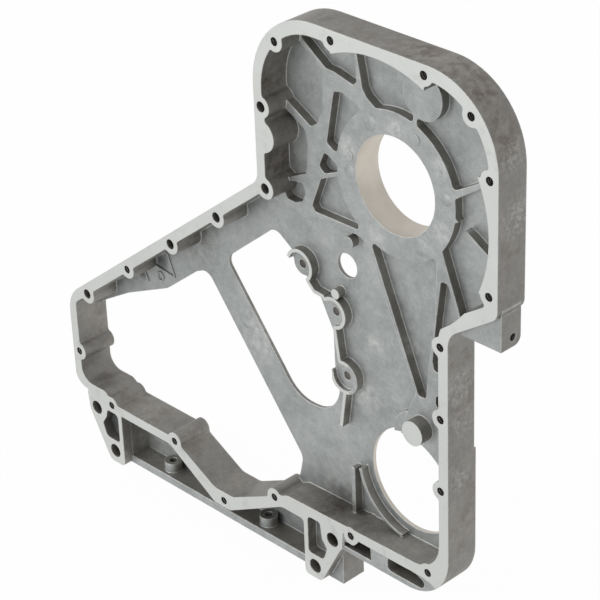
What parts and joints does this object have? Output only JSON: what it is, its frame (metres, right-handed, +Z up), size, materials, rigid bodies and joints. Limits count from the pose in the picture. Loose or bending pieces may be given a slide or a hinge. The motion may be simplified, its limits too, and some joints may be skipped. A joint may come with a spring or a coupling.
{
  "type": "gear housing",
  "caption": "Cast aluminium gear housing: flanged gear chamber, pump bore, two windows in its web, seal hole, bolt bosses and a sump rail with ears.",
  "frame": {"origin": "centre of the pump bore on the front face of its pad", "axes": "+X right seen from the open front, +Y rearwards along the pump bore, +Z up"},
  "size_m": [0.6675, 0.0572, 0.6706],
  "materials": {
    "cast_aluminium": "as-cast and shot-blasted grey, flange and rib tops machined bright"
  },
  "bodies": {
    "root": {"gear_housing": "cast_aluminium"}
  },
  "joints": []
}
